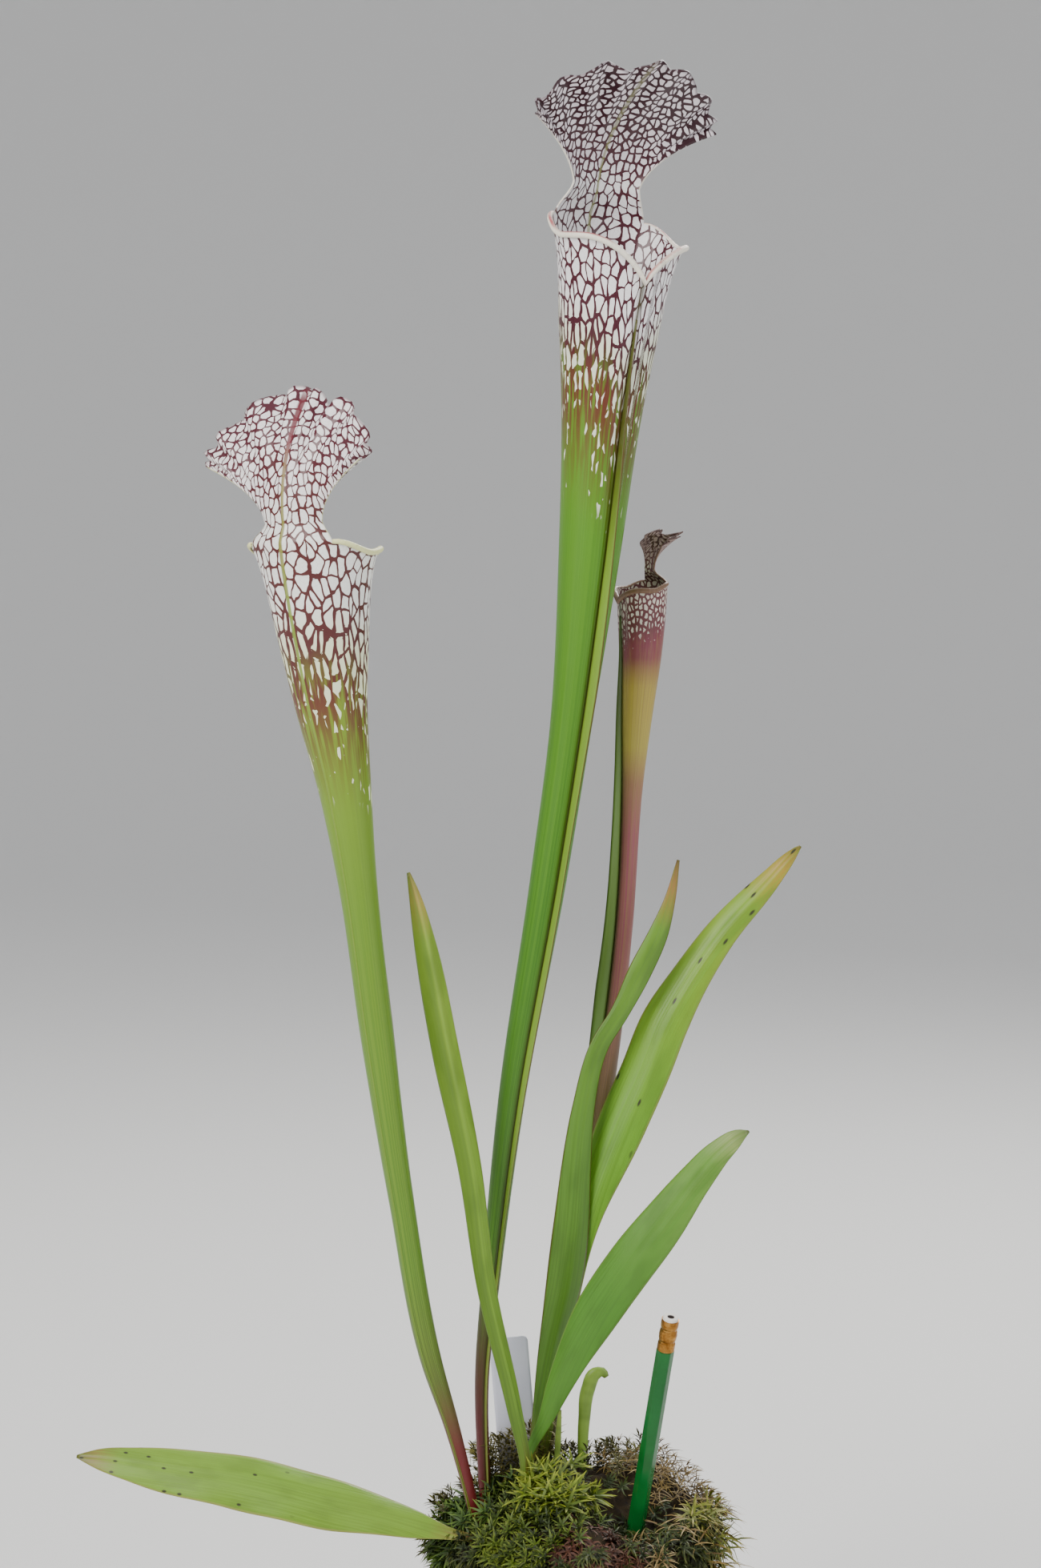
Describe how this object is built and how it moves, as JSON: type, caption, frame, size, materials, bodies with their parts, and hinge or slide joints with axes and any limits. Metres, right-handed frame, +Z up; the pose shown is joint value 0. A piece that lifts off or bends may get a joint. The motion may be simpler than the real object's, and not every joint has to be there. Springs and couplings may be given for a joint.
{
  "type": "potted pitcher plant",
  "caption": "Potted pitcher plant: hollow trumpet leaves with net-veined frilled hoods, sword-like leaves, a moss cushion, a round pot, a blank tag and a pencil stake.",
  "frame": {"origin": "centre of the pot's flat base", "axes": "+Z up along the pot's axis; the plant's best side faces -Y and the low spreading leaf points to -X"},
  "size_m": [0.3042, 0.1355, 0.7092],
  "materials": {
    "pot_plastic": "matte black moulded plastic",
    "potting_mix": "dark crumbly peat",
    "moss": "soft live moss",
    "rhizome": "brown scaly rootstock",
    "pitcher_skin": "satin leaf, green below and white with maroon veins above",
    "withered_skin": "dull withered leaf",
    "leaf_blade": "satin green leaf",
    "young_shoot": "satin young shoot",
    "tag_plastic": "matte pale plastic",
    "pencil_paint": "glossy green paint",
    "graphite": "dark graphite",
    "ferrule_brass": "crimped brass with an amber tone",
    "eraser_rubber": "worn white rubber"
  },
  "bodies": {
    "root": {"pot": "pot_plastic", "potting_mix": "potting_mix", "moss_mound": "moss", "rhizome": "rhizome", "pitcher_tall": "pitcher_skin", "pitcher_left": "pitcher_skin", "pitcher_old": "withered_skin", "leaf_ground": "leaf_blade", "leaf_thin": "leaf_blade", "leaf_mid": "leaf_blade", "leaf_big": "leaf_blade", "leaf_low_right": "leaf_blade", "shoot_hooked": "young_shoot", "shoot_thin": "young_shoot", "plant_tag": "tag_plastic", "pencil_barrel": "pencil_paint", "pencil_lead": "graphite", "pencil_ferrule": "ferrule_brass", "pencil_eraser": "eraser_rubber"}
  },
  "joints": []
}
